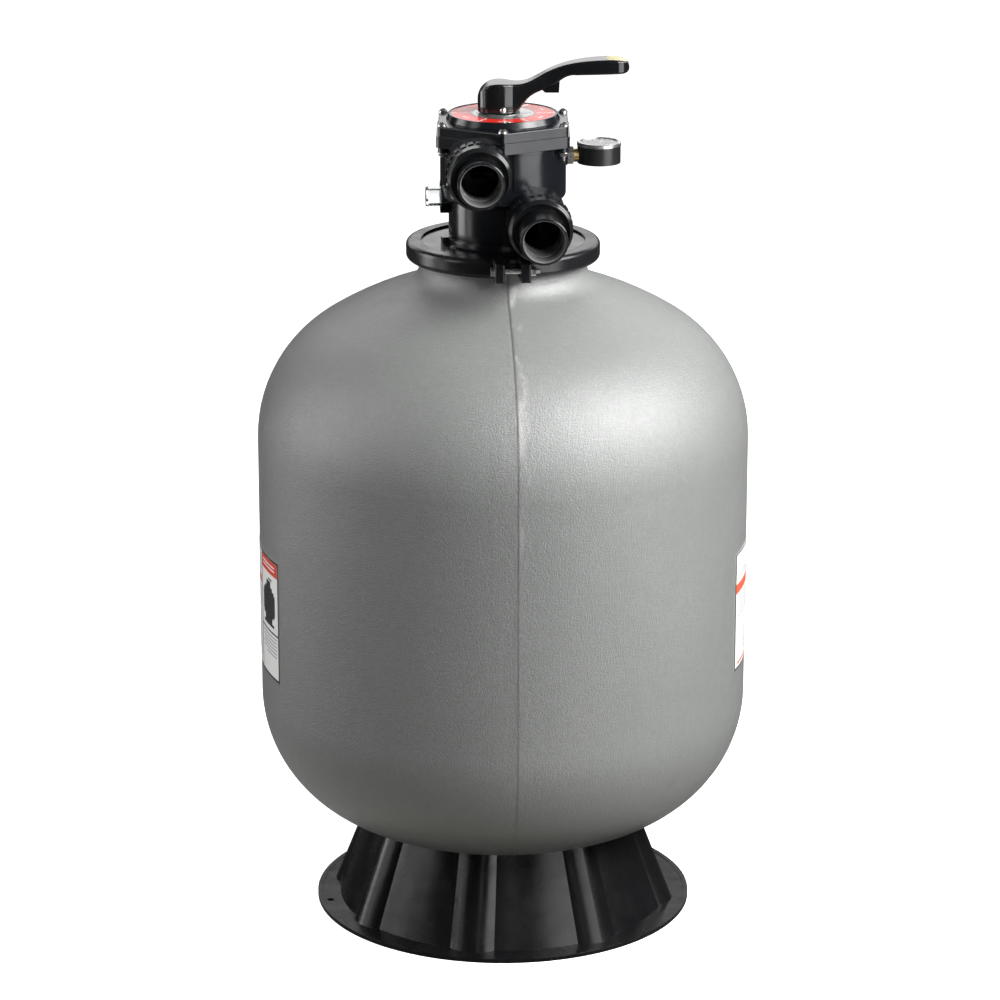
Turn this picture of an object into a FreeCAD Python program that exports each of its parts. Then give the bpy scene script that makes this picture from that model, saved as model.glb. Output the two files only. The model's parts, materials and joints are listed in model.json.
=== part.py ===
import FreeCAD, Part
import math
import os

# Sand filter tank with a top-mounted multiport valve. Millimetres.
# Origin: centre of the base's underside, +Z up, the two front ports point along -Y.
# Azimuths are degrees about +Z: 0 is the front (-Y), 90 is +X, 180 is the back.

V = FreeCAD.Vector
UP = V(0, 0, 1)
ORIGIN = V(0, 0, 0)

# --- tank ---------------------------------------------------------------
TANK_R = 305.0            # 24 inch vessel
TANK_WALL = 7.0
BOTTOM_KNUCKLE_R = 170.0
BOTTOM_KNUCKLE_Z = 285.0  # where the cylinder starts
BOTTOM_TANGENT = 75.0     # degrees below the horizontal where the crown starts
TOP_KNUCKLE_R = 172.7
TOP_KNUCKLE_Z = 613.0     # where the cylinder ends
TOP_CROWN_R = 422.6
NECK_R = 103.0
NECK_BORE_R = 95.0
NECK_FILLET = 27.0
LIP_R = 109.0
LIP_Z = 839.0
NECK_TOP = 848.5
SEAM_W = 1.8
SEAM_PROUD = 0.5

# --- stand --------------------------------------------------------------
FLANGE_R = 238.0
FLANGE_T = 4.5
SKIRT_FOOT_R = 210.5
SKIRT_SLOPE = 0.37        # inward run per unit of height
SKIRT_WALL = 4.0
RIB_COUNT = 8
RIB_TURN = -14.3
RIB_R = 40.0
RIB_PROUD = 10.0
SEAT_R = 148.0
ANCHOR_HOLE_R = 4.35
ANCHOR_CIRCLE_R = 224.5
ANCHOR_AZ = -82.3

# --- neck clamp ---------------------------------------------------------
CLAMP_R = 119.3
CLAMP_TOP = 861.0
CLAMP_FOOT = 838.0
CLAMP_TURN = 1.6
CLAMP_GAP = 9.8           # half of the opening between the two lugs
LUG_T = 12.0
LUG_OUT = 137.0
CLAMP_BOLT_R = 3.0
CLAMP_BOLT_Z = 850.0
CLAMP_BOLT_OUT = 128.0

# --- valve --------------------------------------------------------------
VALVE_LOW_R = 66.7
VALVE_HIGH_R = 77.0
VALVE_STEP_Z = 914.0
SEAT_Z = 948.0            # face that the gasket lies on
BODY_FLANGE_Z = 984.0
COVER_Z = 997.5
COVER_TOP = 1010.0
COVER_TURN = -3.6
BOLT_CIRCLE_R = 85.0
BODY_CORNER_R = 7.4
COVER_CORNER_R = 5.2
SCREW_R = 2.5
SCREW_HEAD_R = 5.2
WASHER_R = 6.0
BOSS_H = 6.0              # bosses under the body's flange, for the nuts
FRONT_SCREW_END = 986.0   # the front screw ends in the flange, above the pump port
WASHER_T = 1.0
BEZEL_FOOT_R = 69.5
BEZEL_TOP_R = 66.5
BEZEL_TOP = 1018.4
PLATE_Z = 1016.6
PLATE_R = 64.5
PLATE_BORE_R = 38.0
CHAMBER_R = 70.0
LOW_CHAMBER_R = 60.0
STANDPIPE_R = 24.15
STANDPIPE_WALL = 3.0

# --- selector -----------------------------------------------------------
STEM_R = 9.0
STEM_BORE_R = 9.08
PIN_Z = 1024.5
PIN_R = 2.5
PIN_HALF = 21.8           # half of the pin's length between its heads
SHAFT_TOP = 1015.8
HEEL_X = 17.0             # where the cam under the lever ends, in front of the pin
HANDLE_UNDER = 1019.0
HANDLE_ROUND = 2.5
WASHER_TOP = 1018.7
ROTOR_R = 66.0
ROTOR_Z = 951.3
SPRING_MEAN_R = 24.0
SPRING_WIRE_R = 2.0
SPRING_Z = 962.0
SPRING_TOP = 1010.0
SPRING_TURNS = 4.5

# --- unions -------------------------------------------------------------
TAIL_R = 28.5
TAIL_BORE_R = 22.75
SOCKET_R = 24.15
SOCKET_DEPTH = 25.0
MOUTH_R = 25.25
NUT_R = 40.0
NUT_LENGTH = 40.0
NUT_LIP = 7.0
NUT_LIP_R = 34.0
NUT_BORE_R = 36.9
COLLAR_R = 36.2           # collar of the tailpiece, inside the nut
COLLAR_T = 6.0
SLEEVE_R = 36.5
NUT_RIBS = 26
NUT_BAND = 13.0           # length of the ribbed band at the back of the nut
GROOVE_PITCH = 3.4        # seal grooves in the bore, behind the socket
GROOVE_DEPTH = 1.1
# name: (x, z, distance of the mouth from the valve axis, length in front of the nut, +1 for the back)
PORTS = {
    "pump": (-36.5, 965.0, 175.0, 31.0, -1),
    "return": (36.5, 902.0, 199.0, 52.0, -1),
    "waste": (0.0, 902.0, 175.0, 31.0, 1),
}

# --- gauge, sight glass, drain -------------------------------------------
GAUGE_X = 117.5
GAUGE_Z = 955.0
GAUGE_R = 26.5
GAUGE_H = 25.5
GAUGE_AXIS_Z = 964.0
SIGHT_Z = 915.0
SIGHT_R = 12.2
SIGHT_SEAL_R = 10.0
DRAIN_Z = 165.0
DRAIN_FACE = 275.0
DRAIN_R = 13.5

# --- underdrain -----------------------------------------------------------
LATERALS = 8
LATERAL_Z = 165.0
LATERAL_R = 11.0
LATERAL_END = 185.0
LATERAL_SLOTS = 14

shapes = {}


def polar(radius, azimuth, z=0.0):
    """Point at an azimuth, counted from the front."""
    a = math.radians(azimuth)
    return V(radius * math.sin(a), -radius * math.cos(a), z)


def turned(shape, azimuth):
    """Copy turned about the tank's axis."""
    copy = shape.copy()
    copy.rotate(ORIGIN, UP, azimuth)
    return copy


def around(shape, count, start=0.0):
    """List of copies spread evenly about the tank's axis."""
    return [turned(shape, start + k * 360.0 / count) for k in range(count)]


def rod(radius, start, direction, length):
    return Part.makeCylinder(radius, length, start, direction)


def tube(r_out, r_in, z0, z1, centre=ORIGIN):
    base = centre + V(0, 0, z0)
    return rod(r_out, base, UP, z1 - z0).cut(rod(r_in, base, UP, z1 - z0))


def block(x0, x1, y0, y1, z0, z1):
    return Part.makeBox(x1 - x0, y1 - y0, z1 - z0, V(x0, y0, z0))


def spun(points, angle=360.0):
    """Solid of revolution from (radius, z) corners."""
    corners = [V(r, 0, z) for r, z in points]
    face = Part.Face(Part.makePolygon(corners + corners[:1]))
    return face.revolve(ORIGIN, UP, angle)


def wedge(r_in, r_out, z0, z1, azimuth, width):
    """Sector of a ring, centred on an azimuth."""
    piece = spun([(r_in, z0), (r_out, z0), (r_out, z1), (r_in, z1)], width)
    return turned(piece, azimuth - 90.0 - width / 2.0)


def torus(major, minor, z):
    return Part.makeTorus(major, minor, V(0, 0, z))


def laid(shape, name):
    """Stand a piece made along +Z onto a port, with +Z pointing out of the mouth."""
    x, z, _, _, side = PORTS[name]
    copy = shape.copy()
    copy.rotate(ORIGIN, V(1, 0, 0), -90.0 * side)
    copy.translate(V(x, 0, z))
    return copy


def hexagon(across_flats, start, direction, length, bore=0.0):
    """Hexagonal bar or nut along a direction."""
    r = across_flats / math.sqrt(3.0)
    corners = [V(r * math.cos(math.radians(60 * k)), r * math.sin(math.radians(60 * k)), 0) for k in range(6)]
    bar = Part.Face(Part.makePolygon(corners + corners[:1])).extrude(V(0, 0, length))
    chamfer = length * 0.12
    bar = bar.common(Part.makeCone(r * 0.93, r * 0.93 + length, length)) if chamfer > 3 else bar
    if bore:
        bar = bar.cut(rod(bore, ORIGIN, UP, length))
    bar.Placement = FreeCAD.Placement(start, FreeCAD.Rotation(UP, direction))
    return bar


# --- tank -------------------------------------------------------------------

def arc_edge(centre, radius, a0, a1):
    """Arc in the XZ plane between two angles in degrees, 0 along +X."""
    def at(a):
        return V(centre[0] + radius * math.cos(a), 0, centre[1] + radius * math.sin(a))
    a0, a1 = math.radians(a0), math.radians(a1)
    return Part.Arc(at(a0), at((a0 + a1) / 2.0), at(a1)).toShape()


def line_edge(p, q):
    return Part.LineSegment(V(p[0], 0, p[1]), V(q[0], 0, q[1])).toShape()


def vessel(offset, neck_r):
    """Body of revolution of the vessel's form, moved outwards by offset, up to the neck's top."""
    knuckle_b = (TANK_R - BOTTOM_KNUCKLE_R, BOTTOM_KNUCKLE_Z)
    crown_b_z = BOTTOM_KNUCKLE_Z + knuckle_b[0] * math.tan(math.radians(BOTTOM_TANGENT))
    crown_b_r = BOTTOM_KNUCKLE_R + knuckle_b[0] / math.cos(math.radians(BOTTOM_TANGENT))
    knuckle_t = (TANK_R - TOP_KNUCKLE_R, TOP_KNUCKLE_Z)
    rise = math.sqrt((TOP_CROWN_R - TOP_KNUCKLE_R) ** 2 - knuckle_t[0] ** 2)
    crown_t_z = TOP_KNUCKLE_Z - rise
    top_tangent = math.degrees(math.atan2(rise, knuckle_t[0]))
    crown_r = TOP_CROWN_R + offset
    edges = [arc_edge((0, crown_b_z), crown_b_r + offset, -90.0, -BOTTOM_TANGENT)]
    edges.append(arc_edge(knuckle_b, BOTTOM_KNUCKLE_R + offset, -BOTTOM_TANGENT, 0.0))
    edges.append(line_edge((TANK_R + offset, BOTTOM_KNUCKLE_Z), (TANK_R + offset, TOP_KNUCKLE_Z)))
    edges.append(arc_edge(knuckle_t, TOP_KNUCKLE_R + offset, 0.0, top_tangent))
    fillet_r = NECK_FILLET - offset if neck_r > NECK_BORE_R else 0.0
    if fillet_r:
        fillet_x = neck_r + fillet_r
        fillet_z = crown_t_z + math.sqrt((crown_r + fillet_r) ** 2 - fillet_x ** 2)
        to_fillet = math.degrees(math.atan2(fillet_z - crown_t_z, fillet_x))
        edges.append(arc_edge((0, crown_t_z), crown_r, top_tangent, to_fillet))
        edges.append(arc_edge((fillet_x, fillet_z), fillet_r, to_fillet + 180.0, 180.0))
    else:
        to_neck = math.degrees(math.acos(neck_r / crown_r))
        edges.append(arc_edge((0, crown_t_z), crown_r, top_tangent, to_neck))
    neck_foot = (neck_r, edges[-1].BoundBox.ZMax)
    edges.append(line_edge(neck_foot, (neck_r, NECK_TOP)))
    edges.append(line_edge((neck_r, NECK_TOP), (0, NECK_TOP)))
    edges.append(line_edge((0, NECK_TOP), (0, crown_b_z - crown_b_r - offset)))
    wire = Part.Wire(Part.__sortEdges__(edges))
    return Part.Face(wire).revolve(ORIGIN, UP, 360)


def tank_shell():
    outer = vessel(0.0, NECK_R)
    seam = vessel(SEAM_PROUD, NECK_R + SEAM_PROUD)
    seam = seam.common(block(-SEAM_W / 2, SEAM_W / 2, -TANK_R - 5, TANK_R + 5, 130, LIP_Z - 2))
    lip = spun([(90, LIP_Z - 3), (NECK_R, LIP_Z - 3), (NECK_R, LIP_Z), (LIP_R, LIP_Z + 4),
                (LIP_R, NECK_TOP), (90, NECK_TOP)])
    boss = rod(22.0, V(0, 230, DRAIN_Z), V(0, 1, 0), DRAIN_FACE - 230)
    shell = outer.fuse([seam, lip, boss]).cut(vessel(-TANK_WALL, NECK_BORE_R))
    return shell.cut(rod(DRAIN_R, V(0, 200, DRAIN_Z), V(0, 1, 0), 120)).removeSplitter()


def label(az0, az1, z0, z1):
    """Thin printed sheet bent around the vessel."""
    sheet = spun([(TANK_R, z0), (TANK_R + 0.4, z0), (TANK_R + 0.4, z1), (TANK_R, z1)], az1 - az0)
    return turned(sheet, az0 - 90.0)


def stand_form(inset):
    """Solid cone with eight half-round ribs, its surface moved inwards by inset."""
    top = 130.0
    level = inset * math.sqrt(1.0 + SKIRT_SLOPE ** 2)
    foot = SKIRT_FOOT_R - level
    cone = Part.makeCone(foot + 20 * SKIRT_SLOPE, foot - top * SKIRT_SLOPE, top + 20, V(0, 0, -20))
    lean = V(-SKIRT_SLOPE, 0, 1)
    lean.normalize()
    centre = SKIRT_FOOT_R - (RIB_R - RIB_PROUD) * math.sqrt(1.0 + SKIRT_SLOPE ** 2)
    start = V(centre + 20 * SKIRT_SLOPE, 0, -20)
    rib = Part.makeCone(RIB_R - inset, RIB_R - 4.0 - inset, 180.0, start, lean)
    form = cone.fuse(around(rib, RIB_COUNT, RIB_TURN - 90.0))
    return form.common(rod(300.0, ORIGIN, UP, top))


def base_stand():
    skirt = stand_form(0.0).cut(stand_form(SKIRT_WALL))
    flange = tube(FLANGE_R, 190.0, 0.0, FLANGE_T)
    rim = tube(FLANGE_R, FLANGE_R - 6.0, FLANGE_T - 0.5, FLANGE_T + 0.8)
    flange = flange.cut(stand_form(SKIRT_WALL)).fuse(rim)
    seat = tube(170.0, SEAT_R, 98.0, 130.0).common(stand_form(SKIRT_WALL / 2.0))
    stand = skirt.fuse([flange, seat]).cut(vessel(0.0, NECK_R))
    hole = rod(ANCHOR_HOLE_R, polar(ANCHOR_CIRCLE_R, ANCHOR_AZ, -1), UP, 12)
    return stand.cut(hole).removeSplitter()


# --- neck clamp ------------------------------------------------------------------

def clamp_half(side):
    """Half of the V-groove ring. side is +1 for the +X half."""
    middle = (CLAMP_TOP + CLAMP_FOOT) / 2.0
    shoulder = CLAMP_R - 1.8
    upper = Part.Arc(V(113, 0, CLAMP_TOP), V(shoulder, 0, CLAMP_TOP - 1.8), V(CLAMP_R, 0, middle + 5))
    lower = Part.Arc(V(CLAMP_R, 0, middle - 5), V(shoulder, 0, CLAMP_FOOT + 1.8), V(113, 0, CLAMP_FOOT))
    edges = [upper.toShape(), line_edge((CLAMP_R, middle + 5), (CLAMP_R, middle - 5)), lower.toShape()]
    groove = [(113, CLAMP_FOOT), (104, CLAMP_FOOT), (104, 839.6), (109.2, 843), (109.2, 855),
              (103.5, 858.6), (101, 858.6), (101, CLAMP_TOP), (113, CLAMP_TOP)]
    edges += [line_edge(p, q) for p, q in zip(groove, groove[1:])]
    face = Part.Face(Part.Wire(edges))
    gap = math.degrees(math.asin(CLAMP_GAP / CLAMP_R))
    half = turned(face.revolve(ORIGIN, UP, 180.0 - 2 * gap), -90.0 + gap)
    lug = block(CLAMP_GAP, CLAMP_GAP + LUG_T, -LUG_OUT, -111.0, CLAMP_FOOT - 1.0, CLAMP_TOP + 0.5)
    lug = lug.makeFillet(2.5, [e for e in lug.Edges if e.BoundBox.YMax < -LUG_OUT + 0.1])
    back_lug = lug.mirror(ORIGIN, V(0, 1, 0))
    half = half.fuse([lug, back_lug])
    for sign in (-1, 1):
        bore_at = V(0, sign * CLAMP_BOLT_OUT, CLAMP_BOLT_Z)
        half = half.cut(rod(CLAMP_BOLT_R + 0.2, bore_at, V(1, 0, 0), 60))
    if side < 0:
        half = turned(half, 180.0)
    return turned(half, CLAMP_TURN)


def clamp_fasteners():
    """Hexagon bolts, washers and nuts across the two openings of the ring."""
    across = V(1, 0, 0)
    reach = CLAMP_GAP + LUG_T
    bolts, washers, nuts = [], [], []
    for sign in (-1, 1):
        y = sign * CLAMP_BOLT_OUT
        shank = rod(CLAMP_BOLT_R, V(-reach - WASHER_T, y, CLAMP_BOLT_Z), across, 2 * reach + 12)
        head = hexagon(10.0, V(-reach - WASHER_T, y, CLAMP_BOLT_Z), V(-1, 0, 0), 4.0)
        bolts.append(shank.fuse(head))
        for at in (-reach - WASHER_T, reach):
            disc = rod(6.2, V(at, y, CLAMP_BOLT_Z), across, WASHER_T)
            washers.append(disc.cut(rod(CLAMP_BOLT_R, V(at, y, CLAMP_BOLT_Z), across, WASHER_T)))
        nuts.append(hexagon(10.0, V(reach + WASHER_T, y, CLAMP_BOLT_Z), across, 5.0, CLAMP_BOLT_R))
    return [turned(Part.makeCompound(group), CLAMP_TURN) for group in (bolts, washers, nuts)]


# --- valve body and cover -----------------------------------------------------------

def rounded_hexagon(corner_r, z0, z1):
    """Plate whose six round corners are centred on the screws."""
    edges = []
    for k in range(6):
        az = COVER_TURN + 60.0 * k
        centre = polar(BOLT_CIRCLE_R, az)
        arc = [centre + polar(corner_r, az + turn) for turn in (-30.0, 0.0, 30.0)]
        edges.append(Part.Arc(*arc).toShape())
        following = polar(BOLT_CIRCLE_R, az + 60.0) + polar(corner_r, az + 30.0)
        edges.append(Part.LineSegment(arc[2], following).toShape())
    plate = Part.Face(Part.Wire(edges)).extrude(V(0, 0, z1 - z0))
    plate.translate(V(0, 0, z0))
    return plate


def screw_holes(radius, z0, z1):
    hole = rod(radius, polar(BOLT_CIRCLE_R, 0, z0), UP, z1 - z0)
    return around(hole, 6, COVER_TURN)


def sleeve_end(name):
    """Distance along the port of the face that the tailpiece seals on."""
    _, _, reach, standout, _ = PORTS[name]
    return reach - standout - NUT_LIP - 0.3 - COLLAR_T


def valve_outside():
    low = rod(VALVE_LOW_R, V(0, 0, 850), UP, 75)
    high = rod(VALVE_HIGH_R, V(0, 0, VALVE_STEP_Z), UP, BODY_FLANGE_Z + 1 - VALVE_STEP_Z)
    high = high.makeFillet(7.0, [e for e in high.Edges if e.BoundBox.ZMax < VALVE_STEP_Z + 0.1])
    panel = wedge(VALVE_HIGH_R - 3, VALVE_HIGH_R + 1.0, 936.0, BODY_FLANGE_Z + 0.5, 28.0, 44.0)
    ledge = wedge(VALVE_HIGH_R - 3, VALVE_HIGH_R + 2.6, BODY_FLANGE_Z - 4, BODY_FLANGE_Z + 0.5, 0.0, 300.0)
    foot = spun([(0, NECK_TOP), (LIP_R, NECK_TOP), (LIP_R, 855), (103.3, 858.5), (76, 858.5),
                 (71, 861), (70.5, 866.5), (0, 866.5)])
    spigot = tube(90.0, 84.0, 836.0, NECK_TOP + 1)
    lug = turned(block(-4, 4, -78, -60, 858, 868), -78.0)
    flange = rounded_hexagon(BODY_CORNER_R, BODY_FLANGE_Z, COVER_Z)
    boss_foot = BODY_FLANGE_Z - BOSS_H
    bosses = around(rod(7.0, polar(BOLT_CIRCLE_R - 2, 0, boss_foot), UP, BOSS_H + 2), 6, COVER_TURN)
    web = block(-3.0, 3.0, -BOLT_CIRCLE_R, -VALVE_HIGH_R + 4, boss_foot, BODY_FLANGE_Z)
    webs = around(web, 6, COVER_TURN)
    sight = rod(20.5, V(-60, 0, SIGHT_Z), V(-1, 0, 0), 17)
    gauge_boss = rod(12.0, V(60, 0, GAUGE_AXIS_Z), V(1, 0, 0), 18.5)
    sleeves = [laid(rod(SLEEVE_R, V(0, 0, 30), UP, sleeve_end(name) - 30), name) for name in PORTS]
    low = low.fuse([high, panel, ledge, foot, spigot, lug, flange, sight, gauge_boss])
    return low.fuse(bosses + webs + sleeves)


def valve_inside():
    """Spaces inside the body: rotor chamber, six cells below it, and the ways to the ports."""
    spaces = [rod(CHAMBER_R, V(0, 0, SEAT_Z), UP, 60)]
    cells = tube(LOW_CHAMBER_R, STANDPIPE_R + 3.85, 862, SEAT_Z - 8)
    webs = around(block(-1.5, 1.5, -LOW_CHAMBER_R - 1, -20, 850, SEAT_Z), 6, 30.0)
    spaces.append(cells.cut(webs))
    spaces += around(wedge(32, 58, SEAT_Z - 9, SEAT_Z + 1, 0, 40), 6)
    spaces += [wedge(32, 58, NECK_TOP - 1, 863, az, 40) for az in (-60.0, 120.0)]
    spaces.append(rod(STANDPIPE_R, V(0, 0, 830), UP, 70))
    spaces.append(rod(19.0, V(0, 0, 890), UP, 70))
    spaces.append(rod(5.0, V(60, 0, GAUGE_AXIS_Z), V(1, 0, 0), 20))
    spaces.append(rod(9.0, V(-50, 0, SIGHT_Z), V(-1, 0, 0), 30))
    spaces.append(rod(SIGHT_SEAL_R + 1.0, V(-75.1, 0, SIGHT_Z), V(-1, 0, 0), 3))
    spaces.append(rod(BOLT_CIRCLE_R + 20, V(0, 0, COVER_Z), UP, 10))
    for name in PORTS:
        start = 56.0 if name == "pump" else 45.0
        spaces.append(laid(rod(TAIL_BORE_R, V(0, 0, start), UP, 120), name))
        groove = tube(31.5, 28.5, sleeve_end(name) - 2.4, sleeve_end(name) + 1)
        spaces.append(laid(groove, name))
    spaces.append(tube(100.6, 95.4, NECK_TOP - 1, NECK_TOP + 5))
    spaces.append(tube(74.2, 71.6, COVER_Z - 2.4, COVER_Z + 1))
    spaces += screw_holes(SCREW_R + 0.3, FRONT_SCREW_END - 1, COVER_Z + 1)[:1]
    spaces += screw_holes(SCREW_R + 0.3, BODY_FLANGE_Z - 8, COVER_Z + 1)[1:]
    spaces += screw_holes(WASHER_R + 0.8, BODY_FLANGE_Z - 13, BODY_FLANGE_Z - BOSS_H)[1:]
    return spaces


def valve_body():
    body = valve_outside()
    for space in valve_inside():
        body = body.cut(space)
    return body


def valve_cover():
    plate = rounded_hexagon(COVER_CORNER_R, COVER_Z, COVER_TOP)
    rim = [e for e in plate.Edges if e.BoundBox.ZMin > COVER_TOP - 0.1]
    plate = plate.makeFillet(1.5, rim)
    seat_r = PLATE_R + 0.2
    dish = spun([(0, COVER_TOP - 2), (BEZEL_FOOT_R, COVER_TOP - 2), (BEZEL_FOOT_R, COVER_TOP + 1.5),
                 (BEZEL_TOP_R, BEZEL_TOP), (seat_r, BEZEL_TOP), (seat_r, PLATE_Z), (0, PLATE_Z)])
    space = spun([(0, COVER_Z - 1), (62, COVER_Z - 1), (58, SPRING_TOP), (0, SPRING_TOP)])
    cover = plate.fuse(dish).cut(space)
    hub = rod(19.0, V(0, 0, SPRING_TOP - 6), UP, 8)
    cover = cover.fuse(hub).cut(rod(STEM_BORE_R, V(0, 0, COVER_Z), UP, 40))
    return cover.cut(screw_holes(SCREW_R + 0.3, COVER_Z - 1, COVER_TOP + 1)).removeSplitter()


def cover_fasteners():
    """Domed screws from above. All but the front one have a washer and a nut under the body's flange."""
    top = COVER_TOP
    low = BODY_FLANGE_Z - BOSS_H
    shank = rod(SCREW_R, V(0, 0, low - 6), UP, top + WASHER_T - low + 6)
    short_shank = rod(SCREW_R, V(0, 0, FRONT_SCREW_END), UP, top + WASHER_T - FRONT_SCREW_END)
    dome = Part.makeSphere(6.4, V(0, 0, top + WASHER_T - 2.6)).common(
        rod(SCREW_HEAD_R, V(0, 0, top + WASHER_T), UP, 10))
    cross = block(-3.2, 3.2, -0.7, 0.7, top + WASHER_T + 2.2, top + 10)
    dome = dome.cut([cross, cross.copy().rotated(V(0, 0, 0), UP, 90)])
    long_screw = shank.fuse(dome)
    short_screw = short_shank.fuse(dome)
    upper = tube(WASHER_R, SCREW_R, top, top + WASHER_T)
    lower = tube(WASHER_R, SCREW_R, low - WASHER_T, low)
    nut = hexagon(8.0, V(0, 0, low - WASHER_T - 4), UP, 4.0, SCREW_R)
    placed = []
    for piece in (short_screw, long_screw, upper, lower, nut):
        copy = piece.copy()
        copy.translate(polar(BOLT_CIRCLE_R, 0))
        placed.append(around(copy, 6, COVER_TURN))
    short_screws, long_screws, uppers, lowers, nuts = placed
    return short_screws[:1] + long_screws[1:], uppers + lowers[1:], nuts[1:]


# --- selector ------------------------------------------------------------------------

def spider_gasket():
    z0, z1 = SEAT_Z, SEAT_Z + 3.0
    spokes = around(block(-3, 3, -63, -28, z0, z1), 6, 30.0)
    return tube(66, 60, z0, z1).fuse([tube(31, 25, z0, z1)] + spokes)


def rotor():
    """Diverter: a plate with one window and a cup that joins the other cells."""
    window = wedge(32, 58, ROTOR_Z - 1, ROTOR_Z + 8, -30, 42)
    plate = rod(ROTOR_R, V(0, 0, ROTOR_Z), UP, 6).cut(window)
    cup_space = wedge(33, 59, ROTOR_Z - 1, ROTOR_Z + 17, 120, 156)
    cup = wedge(30, 62, ROTOR_Z, ROTOR_Z + 21, 120, 170).cut(cup_space)
    plate = plate.cut(wedge(33, 59, ROTOR_Z - 1, ROTOR_Z + 8, 120, 156))
    spring_seat = rod(28.0, V(0, 0, ROTOR_Z), UP, SPRING_Z - ROTOR_Z)
    hub = rod(17.0, V(0, 0, SPRING_Z - 1), UP, 16)
    body = plate.fuse([cup, spring_seat, hub])
    return turned(body.cut(rod(STEM_R, V(0, 0, ROTOR_Z + 4), UP, 60)), COVER_TURN)


def stem():
    """Round shaft with a flat tongue for the handle and a groove for its ring."""
    shaft = rod(STEM_R, V(0, 0, ROTOR_Z + 4), UP, SHAFT_TOP - ROTOR_Z - 4)
    shaft = shaft.cut(tube(STEM_R + 1, STEM_R - 2, 1006.8, 1009.2))
    tongue = block(-8.5, 8.5, -6, 6, PIN_Z - 12, PIN_Z).common(rod(STEM_R, V(0, 0, 1000), UP, 60))
    eye = rod(7.5, V(0, -6, PIN_Z), V(0, 1, 0), 12)
    bored = shaft.fuse([tongue, eye]).cut(rod(PIN_R, V(0, -20, PIN_Z), V(0, 1, 0), 40))
    return turned(bored.removeSplitter(), COVER_TURN)


def return_spring():
    rise = SPRING_TOP - SPRING_Z - 2 * SPRING_WIRE_R
    helix = Part.makeHelix(rise / SPRING_TURNS, rise, SPRING_MEAN_R)
    section = Part.Wire(Part.makeCircle(SPRING_WIRE_R, V(SPRING_MEAN_R, 0, 0), V(0, 1, 0)))
    coil = Part.Wire(helix).makePipeShell([section], True, True)
    coil.translate(V(0, 0, SPRING_Z + SPRING_WIRE_R))
    return coil


def handle_side():
    """Outline of the lever seen from the side: domed hub, rising arm and level grip."""
    under = [V(HEEL_X, 0, HANDLE_UNDER), V(22, 0, 1027), V(33, 0, 1040), V(62, 0, 1054), V(76, 0, 1063.5),
             V(90, 0, 1066)]
    over = [V(-31, 0, 1034), V(-27.5, 0, 1046.5), V(-18.5, 0, 1053.8), V(-7, 0, 1056.3), V(12, 0, 1055.2),
            V(26, 0, 1056.5), V(49, 0, 1067.8), V(66, 0, 1075.6), V(88, 0, 1081.5), V(120, 0, 1084.9),
            V(141, 0, 1084.5), V(151.5, 0, 1080), V(153, 0, 1073), V(146, 0, 1068)]
    low = Part.BSplineCurve()
    low.interpolate(under)
    high = Part.BSplineCurve()
    high.interpolate(over)
    foot = V(over[0].x, 0, HANDLE_UNDER)
    edges = [Part.LineSegment(foot, under[0]).toShape(), low.toShape(), high.toShape()]
    edges.append(Part.LineSegment(under[-1], over[-1]).toShape())
    edges.append(Part.LineSegment(over[0], foot).toShape())
    face = Part.Face(Part.Wire(Part.__sortEdges__(edges)))
    face.translate(V(0, -30, 0))
    return face.extrude(V(0, 60, 0))


def handle_plan():
    """Outline of the lever seen from above: oval hub, slim arm, wide grip with a round tip."""
    hub = Part.Face(Part.Wire(Part.Ellipse(V(-5.5, 0, 0), 25.5, 21.5).toShape())).extrude(V(0, 0, 100))
    upper = [V(2, 17.6, 0), V(24, 14.4, 0), V(48, 12, 0), V(80, 13.5, 0), V(110, 16, 0), V(137, 17, 0)]
    lower = [V(p.x, -p.y, 0) for p in reversed(upper)]
    curves = []
    for points in (upper, lower):
        curve = Part.BSplineCurve()
        curve.interpolate(points)
        curves.append(curve.toShape())
    tip = Part.Arc(upper[-1], V(153.5, 0, 0), lower[0]).toShape()
    heel = Part.LineSegment(lower[-1], upper[0]).toShape()
    arm = Part.Face(Part.Wire([curves[0], tip, curves[1], heel])).extrude(V(0, 0, 100))
    plan = hub.fuse(arm)
    plan.translate(V(0, 0, 1000))
    return plan


def handle():
    """The lever with rounded edges, a stop under the arm, a fork for the stem and a recess for the patch."""
    lever = handle_side().common(handle_plan()).removeSplitter()
    lever = lever.makeFillet(HANDLE_ROUND, lever.Edges)
    corners = [V(42, -6, 1052), V(51, -6, 1043.5), V(68, -6, 1043.5), V(69, -6, 1062), V(46, -6, 1060)]
    stop = Part.Face(Part.makePolygon(corners + corners[:1])).extrude(V(0, 12, 0))
    lever = lever.fuse(stop)
    slot = block(-13, 13, -6.4, 6.4, HANDLE_UNDER - 1, 1041)
    lever = lever.cut([slot, rod(PIN_R, V(0, -30, PIN_Z), V(0, 1, 0), 60)])
    return turned(lever.cut(handle_patch_room()), COVER_TURN)


def handle_patch_room():
    """Shallow recess in the grip's top for its printed patch."""
    room = rod(13.5, V(137, 0, 1070), UP, 30).fuse(block(126, 137, -13.5, 13.5, 1070, 1100))
    room = room.common(block(126, 160, -20, 20, 1070, 1100))
    top = handle_side().common(room)
    lowered = top.copy()
    lowered.translate(V(0, 0, -0.6))
    return top.cut(lowered)


def handle_pin():
    y = PIN_HALF
    pin = rod(PIN_R, V(0, -y, PIN_Z), V(0, 1, 0), 2 * y)
    heads = []
    for sign in (-1, 1):
        head = Part.makeSphere(4.4, V(0, sign * (y - 2.6), PIN_Z))
        y0, y1 = sorted((sign * y, sign * (y + 3)))
        slab = block(-6, 6, y0, y1, PIN_Z - 6, PIN_Z + 6)
        heads.append(head.common(slab))
    return turned(pin.fuse(heads), COVER_TURN)


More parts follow.
